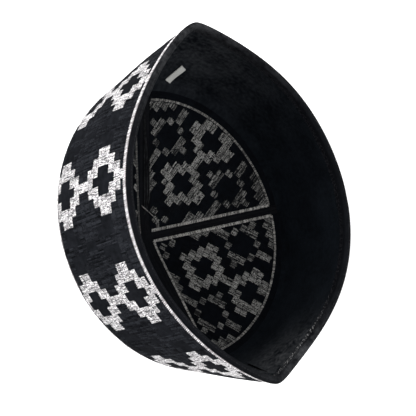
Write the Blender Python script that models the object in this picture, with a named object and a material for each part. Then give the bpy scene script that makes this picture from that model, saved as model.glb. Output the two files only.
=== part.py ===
"""Kufi: a stiff folding cap with a tall embroidered wall and a crown of four quarter panels.

The cap lies on its side. It is modelled in the hat frame: X along its length, Y from the rim to the
crown, Z across. The whole cap is then leant so that its lower side lies level on the floor.
"""
import math

import bmesh
import bpy
from mathutils import Vector

# Outline of the opening, and of the nearly round crown. The opening is a pointed oval pulled askew: its
# tips lie aside, its upper side is set in, sways and dips, and its lower side is twisted past the tips.
RIM_HALF_LENGTH = 0.1112
RIM_HALF_WIDTH = 0.0835
RIM_SIDE_HANDLE = 0.0718
RIM_TIP_HANDLE = 0.0120
RIM_TIP_SKEW = 0.0030
RIM_TIP_TURN = 0.0027
RIM_TIP_REACH = 0.0012
RIM_UPPER_SET = 0.0018
RIM_UPPER_SWAY = 0.0081
RIM_UPPER_DIP = 0.0090
RIM_LOWER_TWIST = 0.0200
RIM_LOWER_TUCK = 0.0280
RIM_END_RISE = 0.0058
CROWN_RADIUS = 0.0900
CROWN_LONG_SCALE = 1.018
CROWN_WIDE_SCALE = 0.983
CROWN_DROP = 0.0030

# Heights along the cap: the seam between wall and crown, and the slope of the crown's quarters.
SEAM_HEIGHT = 0.0735
CROWN_SLOPE = 0.43
APEX_ROUND = 0.0060
WALL_BULGE = 0.0029
BULGE_LEAN = 0.55
BULGE_ENDS = 0.25

# Cloth thicknesses, and the gap kept between pieces.
SHELL = 0.0016
LINING = 0.0010
PANEL = 0.0020
CHANNEL = 0.0012
GAP = 0.0003

# The white cords: each lies in a rebate at one edge of the shell.
CORD_WIDTH = 0.0018
CORD_PROUD = 0.0008
CORD_SHOULDER = 0.0006
REBATE = 0.0006
RIM_ROLL = 0.0026
HEM_WIDTH = 0.0085

# The cloth channels of the crown. The long arms are wider, and the cross is a little turned.
LONG_ARM = 0.0080
SHORT_ARM = 0.0058
CROSS_TURN = math.radians(4.3)

# Where the side is pressed flat on the floor, the cords keep it this far off at its two edges.
CORD_STAND = 0.0013
PRESS_RAMP = 0.0120

# The blank tab on the lining runs up the wall beside the fold at one tip, and slants. Each of its ends
# is given as columns past that fold, height, and columns across.
TAB_FOOT = (3.40, 0.0482, 0.80)
TAB_HEAD = (1.70, 0.0644, 1.25)
TAB_SLANT = 0.0027
TAB_THICK = 0.0005
TAB_STEPS = 4

# Divisions: heights of the wall's rows, columns in a quarter of the way round, steps across and out in
# a quarter panel, and steps along an arm.
WALL_ROWS = (0.0120, 0.0245, 0.0370, 0.0495, 0.0615)
COLUMNS = 20
PANEL_FANS = 10
PANEL_RINGS = 4
ARM_STEPS = 6

LEAN = math.atan2(CROWN_RADIUS * CROWN_WIDE_SCALE + CROWN_DROP - RIM_HALF_WIDTH, SEAM_HEIGHT)
UP = Vector((0, math.sin(LEAN), math.cos(LEAN)))
FLOOR = UP.dot(Vector((0, 0, -RIM_HALF_WIDTH))) - CORD_STAND

BLACK_CLOTH = ((0.012, 0.012, 0.014, 1), 0.75)
BLACK_LINING = ((0.007, 0.007, 0.009, 1), 0.85)
SILVER_THREAD = ((0.72, 0.71, 0.69, 1), 0.40)
PALE_TAPE = ((0.55, 0.56, 0.56, 1), 0.60)


def make_material(name, finish):
    """A plain material of one colour and roughness."""
    colour, roughness = finish
    material = bpy.data.materials.new(name)
    material.use_nodes = True
    shader = material.node_tree.nodes["Principled BSDF"]
    shader.inputs["Base Color"].default_value = colour
    shader.inputs["Roughness"].default_value = roughness
    shader.inputs["Metallic"].default_value = 0.0
    return material


def finish_piece(name, mesh, finish, carrier):
    """Turns a bmesh into a smooth-shaded object with its own material, carried by the leant empty."""
    bmesh.ops.remove_doubles(mesh, verts=mesh.verts, dist=0.00001)
    bmesh.ops.recalc_face_normals(mesh, faces=mesh.faces)
    data = bpy.data.meshes.new(name)
    mesh.to_mesh(data)
    mesh.free()
    data.shade_smooth()
    data.set_sharp_from_angle(angle=math.radians(40))
    data.materials.append(make_material(name, finish))
    piece = bpy.data.objects.new(name, data)
    bpy.context.collection.objects.link(piece)
    piece.parent = carrier
    return piece


def rim_quarter():
    """A quarter of the rim from mid side to tip, as (x, z) and the share of its length run so far."""
    points = []
    for step in range(COLUMNS + 1):
        t = step / COLUMNS
        s = 1 - t
        x = 3 * s * s * t * RIM_SIDE_HANDLE + (3 * s * t * t + t ** 3) * RIM_HALF_LENGTH
        z = (s ** 3 + 3 * s * s * t) * RIM_HALF_WIDTH + 3 * s * t * t * RIM_TIP_HANDLE
        points.append((x, z))
    run = [0.0]
    for (x0, z0), (x1, z1) in zip(points, points[1:]):
        run.append(run[-1] + math.hypot(x1 - x0, z1 - z0))
    return [(x, z, length / run[-1]) for (x, z), length in zip(points, run)]


def rim_point(x, z):
    """Pulls a point of the even oval askew."""
    end = x / RIM_HALF_LENGTH
    if z > 0:
        pull = RIM_UPPER_SET + RIM_UPPER_SWAY * end + RIM_UPPER_DIP * end * end
    else:
        pull = RIM_LOWER_TWIST * end ** (3 if end > 0 else 5) - RIM_LOWER_TUCK * end ** 8
    aside = RIM_TIP_SKEW * end + RIM_TIP_TURN * end ** 7
    reach = RIM_TIP_REACH * max(end, 0.0) ** 7
    return x + reach, z + aside - (1 - end * end) * pull


def crown_plan(across, along):
    """Places a point of the unit circle on the crown's outline, or one within it inside."""
    x = across * CROWN_RADIUS * CROWN_LONG_SCALE
    z = along * CROWN_RADIUS * CROWN_WIDE_SCALE - CROWN_DROP
    return x, z


def wall_columns():
    """The way round the cap: a rim point and the crown point that its threads run to."""
    quarter = rim_quarter()
    columns = []
    for number in range(4 * COLUMNS):
        part, step = divmod(number, COLUMNS)
        x, z, share = quarter[step] if part % 2 == 0 else quarter[COLUMNS - step]
        side = 1 if part in (0, 1) else -1
        face = 1 if part in (0, 3) else -1
        angle = share * math.pi / 2
        rim = rim_point(side * x, face * z)
        columns.append((rim, crown_plan(side * math.sin(angle), face * math.cos(angle))))
    return columns


COLUMN_TABLE = wall_columns()


def press(point, stand):
    """Keeps a point of the cloth at least this far above the floor."""
    low = stand - (UP.dot(point) - FLOOR)
    return point + UP * max(0.0, low)


def wall_base(column, height):
    """A point on the shell's outside, pressed where the cap lies on it."""
    (rim_x, rim_z), (crown_x, crown_z) = COLUMN_TABLE[column % len(COLUMN_TABLE)]
    share = min(max(height / SEAM_HEIGHT, 0.0), 1.0)
    end = rim_x / RIM_HALF_LENGTH
    bulge = WALL_BULGE * 4 * share * (1 - share) * (1 + BULGE_LEAN * end + BULGE_ENDS * end * end)
    out = Vector((rim_x + crown_x, 0, rim_z + crown_z)).normalized()
    x = rim_x * (1 - share) + crown_x * share
    z = rim_z * (1 - share) + crown_z * share
    rise = RIM_END_RISE * end * end * (1 - share)
    point = Vector((x, height + rise, z)) + out * bulge
    near_edge = min(height, SEAM_HEIGHT - height)
    stand = CORD_STAND * min(max(1 - near_edge / PRESS_RAMP, 0.0), 1.0)
    return press(point, stand)


def wall_normal(column, height):
    """The outward direction of the shell at a column and height."""
    reach = 0.002
    low = min(max(height - reach, 0.0), SEAM_HEIGHT - 2 * reach)
    round_way = wall_base(column + 1, height) - wall_base(column - 1, height)
    up_way = wall_base(column, low + 2 * reach) - wall_base(column, low)
    return round_way.cross(up_way).normalized()


def crown_under(radius):
    """Height of the crown's inner face at a distance from its middle, before the plan is scaled."""
    rounded = math.sqrt(radius * radius + APEX_ROUND * APEX_ROUND)
    return SEAM_HEIGHT + CROWN_SLOPE * (CROWN_RADIUS - rounded)


def wall_point(column, edge, distance, depth):
    """A point at a distance from the rim or seam, or right under the crown, and out from the shell."""
    height = distance if edge == "rim" else SEAM_HEIGHT - distance
    point = wall_base(column, height) + wall_normal(column, height) * depth
    if edge == "crown":
        plan_x = point.x / CROWN_LONG_SCALE
        plan_z = (point.z + CROWN_DROP) / CROWN_WIDE_SCALE
        point.y = crown_under(math.hypot(plan_x, plan_z)) - GAP
    return point


def sweep_round(name, section, finish, carrier):
    """Runs a closed section, a table of (edge, distance, depth) rows, all the way round the cap.

    Every four-sided patch is split the same way, so that nested cloths bend alike and keep their gap.
    """
    mesh = bmesh.new()
    rings = []
    for column in range(len(COLUMN_TABLE)):
        rings.append([mesh.verts.new(wall_point(column, *row)) for row in section])
    for ring, after in zip(rings, rings[1:] + rings[:1]):
        for row in range(len(section)):
            high, low = ring[row], ring[row - 1]
            after_high, after_low = after[row], after[row - 1]
            if high.co.y < low.co.y:
                high, low, after_high, after_low = low, high, after_low, after_high
            mesh.faces.new((high, low, after_low))
            mesh.faces.new((high, after_low, after_high))
    return finish_piece(name, mesh, finish, carrier)


def make_wall_shell(carrier):
    """The embroidered band. Its outside steps back at both edges to seat the cords."""
    foot = RIM_ROLL + GAP
    step = foot + CORD_WIDTH + GAP
    top_step = 2 * GAP + CORD_WIDTH
    outside = [("rim", row, 0.0) for row in WALL_ROWS]
    inside = [("rim", row, -SHELL) for row in reversed(WALL_ROWS)]
    section = [("rim", foot, -REBATE), ("rim", step, -REBATE), ("rim", step + GAP, 0.0)]
    section += outside
    section += [("seam", top_step + GAP, 0.0), ("seam", top_step, -REBATE), ("crown", 0.0, -REBATE)]
    section += [("crown", 0.0, -SHELL)]
    section += inside
    section += [("rim", foot, -SHELL)]
    return sweep_round("wall_shell", section, BLACK_CLOTH, carrier)


def make_wall_lining(carrier):
    """The lining, inside the shell, from the hem to the crown."""
    face = -SHELL - GAP
    back = face - LINING
    outside = [("rim", row, face) for row in WALL_ROWS]
    inside = [("rim", row, back) for row in reversed(WALL_ROWS)]
    foot = HEM_WIDTH + GAP
    section = [("rim", foot, face)] + outside + [("crown", 0.0, face), ("crown", 0.0, back)]
    section += inside + [("rim", foot, back)]
    return sweep_round("wall_lining", section, BLACK_LINING, carrier)


def make_rim_binding(carrier):
    """The rolled edge of the opening, with the hem that turns in behind it."""
    face = -SHELL - GAP
    section = [
        ("rim", RIM_ROLL, 0.0004),
        ("rim", 0.0018, CORD_PROUD),
        ("rim", 0.0007, 0.0003),
        ("rim", 0.0000, -0.0014),
        ("rim", 0.0006, -0.0030),
        ("rim", 0.0018, -0.0036),
        ("rim", 0.0036, -0.0034),
        ("rim", HEM_WIDTH, face - LINING),
        ("rim", HEM_WIDTH, face),
        ("rim", RIM_ROLL, face),
    ]
    return sweep_round("rim_binding", section, BLACK_CLOTH, carrier)


def make_cord(name, edge, start, carrier):
    """A white cord laid in a rebate of the shell, rounded on its outer side."""
    base = -REBATE + GAP
    middle = start + CORD_WIDTH / 2
    section = [
        (edge, start, base),
        (edge, start, base + CORD_SHOULDER),
        (edge, middle, CORD_PROUD),
        (edge, start + CORD_WIDTH, base + CORD_SHOULDER),
        (edge, start + CORD_WIDTH, base),
    ]
    return sweep_round(name, section, SILVER_THREAD, carrier)


def crown_point(x, lift, z):
    """A point of the crown above its inner face, given in the turned frame of the cross."""
    turned_x = x * math.cos(CROSS_TURN) - z * math.sin(CROSS_TURN)
    turned_z = z * math.cos(CROSS_TURN) + x * math.sin(CROSS_TURN)
    plan_x, plan_z = crown_plan(turned_x / CROWN_RADIUS, turned_z / CROWN_RADIUS)
    point = Vector((plan_x, crown_under(math.hypot(x, z)) + lift, plan_z))
    return press(point, CORD_STAND)


def raise_crown_piece(mesh, low, thick):
    """Gives a flat crown pattern its thickness, measured along the cap, and bends it to the cone."""
    steep = math.hypot(1, CROWN_SLOPE)
    body = bmesh.ops.extrude_face_region(mesh, geom=mesh.faces[:])["geom"]
    top = [item for item in body if isinstance(item, bmesh.types.BMVert)]
    bmesh.ops.translate(mesh, verts=mesh.verts, vec=(0, low * steep, 0))
    bmesh.ops.translate(mesh, verts=top, vec=(0, thick * steep, 0))
    for vertex in mesh.verts:
        vertex.co = crown_point(*vertex.co)


def make_crown_quarter(number, side, face, carrier):
    """A stiff sector between two arms of the cross, bent to the crown's cone."""
    corner_x = SHORT_ARM / 2
    corner_z = LONG_ARM / 2
    first = math.asin(corner_z / CROWN_RADIUS)
    last = math.acos(corner_x / CROWN_RADIUS)
    mesh = bmesh.new()
    corner = mesh.verts.new((side * corner_x, 0, face * corner_z))
    rows = []
    for step in range(PANEL_FANS + 1):
        angle = first + (last - first) * step / PANEL_FANS
        row = [corner]
        for ring in range(1, PANEL_RINGS + 1):
            share = ring / PANEL_RINGS
            x = corner_x + (CROWN_RADIUS * math.cos(angle) - corner_x) * share
            z = corner_z + (CROWN_RADIUS * math.sin(angle) - corner_z) * share
            row.append(mesh.verts.new((side * x, 0, face * z)))
        rows.append(row)
    for row, after in zip(rows, rows[1:]):
        mesh.faces.new((corner, row[1], after[1]))
        for ring in range(1, PANEL_RINGS):
            mesh.faces.new((row[ring], row[ring + 1], after[ring + 1], after[ring]))
    raise_crown_piece(mesh, 0.0, PANEL)
    return finish_piece(f"crown_quarter_{number}", mesh, BLACK_CLOTH, carrier)


def make_crown_cross(carrier):
    """Four cloth arms from one middle square, thinner than the quarters and level with their middle."""
    half_x = SHORT_ARM / 2 - GAP
    half_z = LONG_ARM / 2 - GAP
    mesh = bmesh.new()
    corners = [mesh.verts.new((x, 0, z)) for x, z in
               ((half_x, half_z), (half_x, -half_z), (-half_x, -half_z), (-half_x, half_z))]
    mesh.faces.new(corners)
    for number, way in enumerate(((1, 0), (0, -1), (-1, 0), (0, 1))):
        start = (corners[number], corners[(number + 1) % 4])
        half = half_z if way[0] else half_x
        reach = math.sqrt(CROWN_RADIUS ** 2 - half ** 2)
        root = half_x if way[0] else half_z
        last = start
        for step in range(1, ARM_STEPS + 1):
            run = (reach - root) * step / ARM_STEPS
            row = [mesh.verts.new(vertex.co + Vector((way[0], 0, way[1])) * run) for vertex in start]
            mesh.faces.new((last[0], last[1], row[1], row[0]))
            last = row
    raise_crown_piece(mesh, (PANEL - CHANNEL) / 2, CHANNEL)
    return finish_piece("crown_cross", mesh, BLACK_LINING, carrier)


def lining_point(column, height, depth):
    """A point on the straight patch between two columns of the wall."""
    whole = math.floor(column)
    start = wall_point(whole, "rim", height, depth)
    return start.lerp(wall_point(whole + 1, "rim", height, depth), column - whole)


def make_size_tab(carrier):
    """The blank tab, a short tape that lies on the lining and bends with it."""
    seat = -SHELL - GAP - LINING - GAP
    mesh = bmesh.new()
    rings = []
    for step in range(TAB_STEPS + 1):
        share = step / TAB_STEPS
        column = COLUMNS + TAB_FOOT[0] + (TAB_HEAD[0] - TAB_FOOT[0]) * share
        height = TAB_FOOT[1] + (TAB_HEAD[1] - TAB_FOOT[1]) * share
        across = TAB_FOOT[2] + (TAB_HEAD[2] - TAB_FOOT[2]) * share
        edge = (column + across, height + TAB_SLANT)
        corners = ((column, height, seat), (*edge, seat))
        corners += ((*edge, seat - TAB_THICK), (column, height, seat - TAB_THICK))
        rings.append([mesh.verts.new(lining_point(*corner)) for corner in corners])
    for ring, after in zip(rings, rings[1:]):
        for corner in range(4):
            mesh.faces.new((ring[corner], ring[corner - 1], after[corner - 1], after[corner]))
    mesh.faces.new(rings[0])
    mesh.faces.new(rings[-1])
    return finish_piece("size_tab", mesh, PALE_TAPE, carrier)


def set_down(carrier, pieces):
    """Leans the cap onto its side and puts the middle of its lowest side at the origin."""
    carrier.rotation_euler.x = LEAN
    bpy.context.view_layer.update()
    corners = [carrier.matrix_world @ vertex.co for piece in pieces for vertex in piece.data.vertices]
    middle_x = (min(c.x for c in corners) + max(c.x for c in corners)) / 2
    middle_y = (min(c.y for c in corners) + max(c.y for c in corners)) / 2
    carrier.location = (-middle_x, -middle_y, -min(c.z for c in corners))


def build_kufi():
    for thing in list(bpy.data.objects):
        bpy.data.objects.remove(thing)
    carrier = bpy.data.objects.new("cap_on_its_side", None)
    bpy.context.collection.objects.link(carrier)
    pieces = [make_wall_shell(carrier), make_wall_lining(carrier), make_rim_binding(carrier)]
    pieces.append(make_cord("rim_cord", "rim", RIM_ROLL + 2 * GAP, carrier))
    pieces.append(make_cord("crown_cord", "seam", 2 * GAP, carrier))
    for number, (side, face) in enumerate(((1, 1), (-1, 1), (-1, -1), (1, -1)), start=1):
        pieces.append(make_crown_quarter(number, side, face, carrier))
    pieces.append(make_crown_cross(carrier))
    pieces.append(make_size_tab(carrier))
    set_down(carrier, pieces)


build_kufi()
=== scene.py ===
import math
import random
import re

import bmesh
import bpy
import numpy as np
from mathutils import Matrix, Vector


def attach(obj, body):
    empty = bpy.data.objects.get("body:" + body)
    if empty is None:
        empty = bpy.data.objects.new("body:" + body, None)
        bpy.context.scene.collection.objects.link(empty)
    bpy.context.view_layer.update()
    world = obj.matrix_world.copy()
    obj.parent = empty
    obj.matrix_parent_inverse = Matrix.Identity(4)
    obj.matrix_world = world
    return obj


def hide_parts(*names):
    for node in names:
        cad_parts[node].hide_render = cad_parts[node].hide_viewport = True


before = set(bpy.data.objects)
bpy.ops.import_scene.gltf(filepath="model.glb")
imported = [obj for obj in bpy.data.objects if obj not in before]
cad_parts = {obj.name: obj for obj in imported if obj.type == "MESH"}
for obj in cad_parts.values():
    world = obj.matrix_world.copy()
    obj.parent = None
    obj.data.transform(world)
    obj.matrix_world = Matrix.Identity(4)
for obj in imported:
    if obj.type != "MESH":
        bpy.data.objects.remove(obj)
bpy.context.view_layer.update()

# The wall band is a long strip of stiffened black cotton, sewn into a pointed oval at the rim and a
# near circle at the crown. It is cut flat and then bent, so everything on it is laid out flat first:
# distance round from the middle of the top, height from the rim, and how far out from the cloth.

# The rim's outline: half its length and width, how full its sides and tips are drawn, how it is skewed,
# how far each long side is drawn in, and how far the two ends rise.
RIM_HALF_LENGTH = 0.1112
RIM_HALF_WIDTH = 0.0835
RIM_SIDE_HANDLE = 0.0718
RIM_TIP_HANDLE = 0.012
RIM_TIP_SKEW = 0.003
RIM_TIP_TURN = 0.0027
RIM_TIP_REACH = 0.0012
RIM_UPPER_SET = 0.0018
RIM_UPPER_SWAY = 0.0081
RIM_UPPER_DIP = 0.009
RIM_LOWER_TWIST = 0.02
RIM_LOWER_TUCK = 0.028
RIM_END_RISE = 0.0058
# The crown: a circle, a little stretched and dropped, and the slope and round peak of its cone.
CROWN_RADIUS = 0.09
CROWN_LONG_SCALE = 1.018
CROWN_WIDE_SCALE = 0.983
CROWN_DROP = 0.003
CROWN_SLOPE = 0.43
APEX_ROUND = 0.006
# The wall's height, and how far it swells, more at one end and more at both.
SEAM_HEIGHT = 0.0735
WALL_BULGE = 0.0029
BULGE_LEAN = 0.55
BULGE_ENDS = 0.25
# Thicknesses of the cloths, the gap between pieces, and the groove that each white line lies in.
SHELL = 0.0016
LINING = 0.001
GAP = 0.0003
CORD_WIDTH = 0.0018
REBATE = 0.0006
RIM_ROLL = 0.0026
# How far the cords and the cloth stand off the floor where the side is pressed flat, and the height over
# which one changes to the other. Nothing comes nearer to the floor than the last.
CORD_STAND = 0.0013
CLOTH_STAND = 0.0004
PRESS_RAMP = 0.012
FLOOR_CLEAR = 0.00003
# Points nearer together than this are one point.
MERGE = 0.000005
# How far the cap leans over, and where it is set down.
LEAN = math.atan2(CROWN_RADIUS * CROWN_WIDE_SCALE + CROWN_DROP - RIM_HALF_WIDTH, SEAM_HEIGHT)
REST_RIGHT = -0.0007454
REST_BACK = -0.0513853
REST_UP = RIM_HALF_WIDTH * math.cos(LEAN) + CORD_STAND
WALL_COLUMNS = 320
# Near the seam the wall swells a little and then rounds over into it: height, and how far it stands out.
SEAM_ROUNDING = ((0.0, 0.0), (0.049, 0.0), (0.054, 0.0002), (0.059, 0.0006), (0.063, 0.00095),
                 (0.066, 0.00115), (0.0685, 0.00115), (0.0705, 0.0009), (0.072, 0.0004), (0.0735, -0.0005))

share = np.linspace(0, 1, 241)
left = 1 - share
quarter_x = 3 * left ** 2 * share * RIM_SIDE_HANDLE + (3 * left * share ** 2 + share ** 3) * RIM_HALF_LENGTH
quarter_z = (left ** 3 + 3 * left ** 2 * share) * RIM_HALF_WIDTH + 3 * left * share ** 2 * RIM_TIP_HANDLE
quarter_run = np.concatenate(([0.0], np.cumsum(np.hypot(np.diff(quarter_x), np.diff(quarter_z)))))
QUARTER = float(quarter_run[-1])
ROUND = 4 * QUARTER
UNDERSIDE = 2 * QUARTER


def press(points, stand):
    """Keeps cloth at least this far above the floor that the cap lies on."""
    level = points[:, 1] * math.sin(LEAN) + points[:, 2] * math.cos(LEAN) + REST_UP
    lift = np.maximum(0.0, stand - level)
    return points + lift[:, None] * np.array((0.0, math.sin(LEAN), math.cos(LEAN)))


def wall_face(around, height):
    """The outer face of the wall, in the cap's own frame."""
    around = around % ROUND
    part = np.minimum((around // QUARTER).astype(int), 3)
    run = around - part * QUARTER
    run = np.where(part % 2 == 0, run, QUARTER - run)
    side = np.where(part < 2, 1, -1)
    face = np.where((part == 0) | (part == 3), 1, -1)
    rim_x = side * np.interp(run, quarter_run, quarter_x)
    end = rim_x / RIM_HALF_LENGTH
    upper_pull = RIM_UPPER_SET + RIM_UPPER_SWAY * end + RIM_UPPER_DIP * end ** 2
    lower_pull = RIM_LOWER_TWIST * np.where(end > 0, end ** 3, end ** 5) - RIM_LOWER_TUCK * end ** 8
    pull = np.where(face > 0, upper_pull, lower_pull)
    rim_z = face * np.interp(run, quarter_run, quarter_z) + RIM_TIP_SKEW * end - (1 - end ** 2) * pull
    rim_z = rim_z + RIM_TIP_TURN * end ** 7
    rim_x = rim_x + RIM_TIP_REACH * np.maximum(end, 0) ** 7
    angle = run / QUARTER * math.pi / 2
    crown_x = side * np.sin(angle) * CROWN_RADIUS * CROWN_LONG_SCALE
    crown_z = face * np.cos(angle) * CROWN_RADIUS * CROWN_WIDE_SCALE - CROWN_DROP
    up = np.clip(height / SEAM_HEIGHT, 0, 1)
    out_x = rim_x + crown_x
    out_z = rim_z + crown_z
    bulge = WALL_BULGE * 4 * up * (1 - up) + np.interp(height, *zip(*SEAM_ROUNDING))
    bulge = bulge * (1 + BULGE_LEAN * end + BULGE_ENDS * end ** 2) / np.hypot(out_x, out_z)
    x = rim_x * (1 - up) + crown_x * up + bulge * out_x
    z = rim_z * (1 - up) + crown_z * up + bulge * out_z
    y = height + RIM_END_RISE * end ** 2 * (1 - up)
    near_edge = np.minimum(height, SEAM_HEIGHT - height)
    ramp = np.clip(1 - near_edge / PRESS_RAMP, 0, 1)
    return press(np.stack((x, y, z), axis=-1), CLOTH_STAND + (CORD_STAND - CLOTH_STAND) * ramp)


def crown_under(radius):
    """Height of the crown's inner face at a distance from its middle."""
    return SEAM_HEIGHT + CROWN_SLOPE * (CROWN_RADIUS - np.sqrt(radius ** 2 + APEX_ROUND ** 2))


def set_down(points):
    """Leans the cap onto its side, where it lies on the floor."""
    y = points[:, 1] * math.cos(LEAN) - points[:, 2] * math.sin(LEAN) + REST_BACK
    z = points[:, 1] * math.sin(LEAN) + points[:, 2] * math.cos(LEAN) + REST_UP
    return np.stack((points[:, 0] + REST_RIGHT, y, np.maximum(z, FLOOR_CLEAR)), axis=-1)


def lay_on_wall(flat):
    """Bends flat work round the wall. What reaches the seam's height is cut to the crown's slope."""
    around, height, out = flat[:, 0], flat[:, 1], flat[:, 2]
    reach = 0.0015
    low = np.clip(height - reach, 0, SEAM_HEIGHT - 2 * reach)
    round_way = wall_face(around + reach, height) - wall_face(around - reach, height)
    up_way = wall_face(around, low + 2 * reach) - wall_face(around, low)
    normal = np.cross(round_way, up_way)
    normal /= np.linalg.norm(normal, axis=1)[:, None]
    points = wall_face(around, height) + normal * out[:, None]
    plan_x = points[:, 0] / CROWN_LONG_SCALE
    plan_z = (points[:, 2] + CROWN_DROP) / CROWN_WIDE_SCALE
    cut = crown_under(np.hypot(plan_x, plan_z)) - GAP
    points[:, 1] = np.where(height > SEAM_HEIGHT - 0.0001, cut, points[:, 1])
    return set_down(points)


def bend_cloth(mesh, bend, closed=False):
    """Bends a flat bmesh into its place on the cap, and keeps the flat cut as its UV map, in metres."""
    cut = mesh.loops.layers.uv.new("cut")
    for face in mesh.faces:
        for loop in face.loops:
            loop[cut].uv = loop.vert.co.xy
    flat = np.array([vertex.co[:] for vertex in mesh.verts])
    for vertex, place in zip(mesh.verts, bend(flat)):
        vertex.co = place
    if closed:
        bmesh.ops.remove_doubles(mesh, verts=mesh.verts, dist=MERGE)
    bmesh.ops.recalc_face_normals(mesh, faces=mesh.faces)
    return mesh


def sweep_round(section, columns, relief=None):
    """Runs a closed section, a table of (height, out) rows, all the way round the wall."""
    rows = len(section)
    mesh = bmesh.new()
    size = Matrix.Diagonal((ROUND / 2, rows / 2, 1, 1))
    bmesh.ops.create_grid(mesh, x_segments=columns, y_segments=rows, size=1,
                          matrix=Matrix.Translation((ROUND / 2, rows / 2, 0)) @ size)
    loop = np.array(section + section[:1])
    run = np.concatenate(([0.0], np.cumsum(np.hypot(*np.diff(loop, axis=0).T))))

    def shape(flat):
        row = np.rint(np.interp(flat[:, 1], run, np.arange(rows + 1))).astype(int) % rows
        placed = np.stack((flat[:, 0], loop[row, 0], loop[row, 1]), axis=-1)
        if relief:
            placed[:, 2] += relief(placed[:, 0] * math.tau / ROUND, placed[:, 1], row)
        return lay_on_wall(placed)

    for vertex in mesh.verts:
        vertex.co.y = run[round(vertex.co.y)]
    return bend_cloth(mesh, shape, closed=True)


def put_in(name, data):
    """Puts an object of its own into the scene."""
    made = bpy.data.objects.new(name, data)
    bpy.context.collection.objects.link(made)
    return made


def mesh_data(name, mesh):
    """Makes a bmesh into mesh data."""
    data = bpy.data.meshes.new(name)
    mesh.to_mesh(data)
    mesh.free()
    return data


def finish_piece(name, mesh, material, nodes=()):
    """Makes a bmesh an object of its own on the cap's one body."""
    data = mesh_data(name, mesh)
    data.shade_smooth()
    data.set_sharp_from_angle(angle=math.radians(50))
    data.materials.append(material)
    piece = put_in(name, data)
    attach(piece, "root")
    if nodes:
        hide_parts(*nodes)
    return piece


def fill_in(node, values):
    """Links each value that is a socket to the node's input of that name, and sets any other."""
    for name, value in values.items():
        if isinstance(value, bpy.types.NodeSocket):
            node.id_data.links.new(value, node.inputs[name])
        else:
            node.inputs[name].default_value = value


def add_node(tree, kind, values=None, **settings):
    """Adds a shader node with its settings and the values of its inputs."""
    node = tree.nodes.new(kind)
    for name, setting in settings.items():
        setattr(node, name, setting)
    fill_in(node, values or {})
    return node


def add_sum(tree, operation, *values, use_clamp=False):
    """The result of one step of arithmetic on sockets and numbers."""
    node = add_node(tree, "ShaderNodeMath", dict(enumerate(values)), operation=operation, use_clamp=use_clamp)
    return node.outputs[0]


def add_mix(tree, factor, dark, light):
    """A colour between two others."""
    node = add_node(tree, "ShaderNodeMix", {"Factor": factor, "A": dark, "B": light}, data_type="RGBA")
    return node.outputs["Result"]


def open_group(name, inputs, outputs):
    """A node group with the kinds of its sockets, what it is given and where its results go."""
    tree = bpy.data.node_groups.new(name, "ShaderNodeTree")
    for way, sockets in (("INPUT", inputs), ("OUTPUT", outputs)):
        for socket, kind in sockets.items():
            tree.interface.new_socket(socket, in_out=way, socket_type="NodeSocket" + kind)
    return tree, tree.nodes.new("NodeGroupInput").outputs, tree.nodes.new("NodeGroupOutput")


def make_weave():
    """A plain cotton: over and under threads, slubs, a slow change of tone, and painted light where it is
    marked.
    """
    tree, given, made = open_group(
        "cotton_weave",
        {"Place": "Vector", "Threads": "Float", "PaintedLight": "Float", "Dark": "Color", "Light": "Color"},
        {"Height": "Float", "Colour": "Color"})
    scaled = add_node(tree, "ShaderNodeVectorMath", {0: given["Place"], "Scale": given["Threads"]},
                      operation="SCALE").outputs[0]
    warp, weft = [add_node(tree, "ShaderNodeTexWave", {"Vector": scaled, "Scale": 1.0, "Distortion": 0.6},
                           wave_type="BANDS", bands_direction=way).outputs["Fac"] for way in "XY"]
    slubs = add_node(tree, "ShaderNodeTexNoise", {"Vector": scaled, "Scale": 0.9, "Detail": 2.0})
    slow = add_node(tree, "ShaderNodeTexNoise", {"Vector": given["Place"], "Scale": 55.0, "Detail": 3.0})
    crossing = add_sum(tree, "MAXIMUM", warp, weft)
    height = add_sum(tree, "MULTIPLY_ADD", slubs.outputs["Fac"], 0.9, crossing)
    both = add_sum(tree, "ADD", slubs.outputs["Fac"], slow.outputs["Fac"])
    tone = add_node(tree, "ShaderNodeMapRange", {"Value": both, "From Min": 0.75, "From Max": 1.25})
    cloth = add_mix(tree, tone.outputs["Result"], given["Dark"], given["Light"])
    patch = add_sum(tree, "MULTIPLY", given["PaintedLight"], tone.outputs["Result"])
    painted_light = add_sum(tree, "MULTIPLY", patch, height, use_clamp=True)
    # The colour of the painted light, a paler grey where light is painted onto the cloth.
    painted_light_tone = (0.034, 0.035, 0.037, 1)
    fill_in(made, {"Height": height, "Colour": add_mix(tree, painted_light, cloth, painted_light_tone)})
    return tree


WEAVE = make_weave()


def new_material(name):
    """A plain material, and its shader."""
    material = bpy.data.materials.new(name)
    material.use_nodes = True
    return material, material.node_tree.nodes["Principled BSDF"]


def make_cloth(name, dark, light, threads, depth, rough, shine, sheen, painted_lit=False):
    """A woven cloth. Its pattern follows the flat cut, and threads is their number in a metre."""
    material, shader = new_material(name)
    tree = material.node_tree
    cut = add_node(tree, "ShaderNodeUVMap", uv_map="cut")
    values = {"Place": cut.outputs["UV"], "Threads": threads, "Dark": (*dark, 1), "Light": (*light, 1)}
    weave = add_node(tree, "ShaderNodeGroup", values, node_tree=WEAVE)
    # Painted light: where the piece is marked, its cloth is painted paler.
    if painted_lit:
        painted_light = add_node(tree, "ShaderNodeAttribute", attribute_name="painted_light")
        fill_in(weave, {"PaintedLight": painted_light.outputs["Fac"]})
    values = {"Height": weave.outputs["Height"], "Distance": depth, "Strength": 0.8}
    bump = add_node(tree, "ShaderNodeBump", values)
    fill_in(shader, {
        "Base Color": weave.outputs["Colour"], "Normal": bump.outputs["Normal"], "Roughness": rough,
        "Specular IOR Level": shine, "Sheen Weight": sheen, "Sheen Roughness": 0.5,
        "Sheen Tint": (0.75, 0.8, 1.0, 1)})
    return material


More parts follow.
